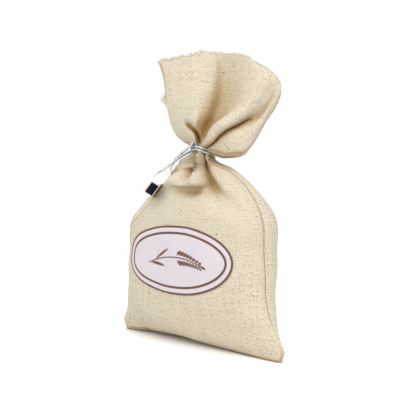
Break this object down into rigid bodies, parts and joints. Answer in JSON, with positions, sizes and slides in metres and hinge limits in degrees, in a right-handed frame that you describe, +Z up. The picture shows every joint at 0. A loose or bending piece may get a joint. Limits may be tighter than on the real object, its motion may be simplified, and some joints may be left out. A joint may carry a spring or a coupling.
{
  "type": "lavender sachet",
  "caption": "Stuffed cotton bag of dried lavender, gathered and tied at the neck with silver cord, with a frilled top, an oval label and a folded hang tag.",
  "frame": {"origin": "on the surface that the sachet stands on, under the middle of its tied neck", "axes": "+Z up through the neck, +X along the bottom seam to the right as the label is read, -Y out of the labelled front"},
  "size_m": [0.095, 0.0401, 0.1256],
  "materials": {
    "calico": "unbleached plain-weave cotton with seed flecks",
    "sewing_thread": "ecru cotton sewing thread",
    "dried_lavender": "dry violet-grey flower buds",
    "label_paper": "smooth pale pink paper with brown printed rings",
    "silver_cord": "twisted metallised silver yarn",
    "tag_card": "white coated card with a dark printed band"
  },
  "bodies": {
    "bag": {"front_panel": "calico", "back_panel": "calico", "left_seam_thread": "sewing_thread", "right_seam_thread": "sewing_thread", "bottom_seam_thread": "sewing_thread", "lavender_filling": "dried_lavender", "oval_label": "label_paper", "neck_winding": "silver_cord", "neck_knot": "silver_cord", "upper_tail": "silver_cord", "lower_tail": "silver_cord"},
    "tag": {"tag_back_leaf": "tag_card"},
    "tag_cover": {"tag_cover_leaf": "tag_card"}
  },
  "joints": [
    {"name": "tag_swing", "type": "hinge", "parent": "bag", "child": "tag", "pos_m": [-0.01028, -0.01064, 0.07429], "axis": [-0.7193, 0.6947, 0], "range_deg": [0, 45]},
    {"name": "tag_fold", "type": "hinge", "parent": "tag", "child": "tag_cover", "pos_m": [-0.01524, -0.00642, 0.07459], "axis": [-0.4083, -0.4228, -0.809], "range_deg": [-12, 140]}
  ]
}
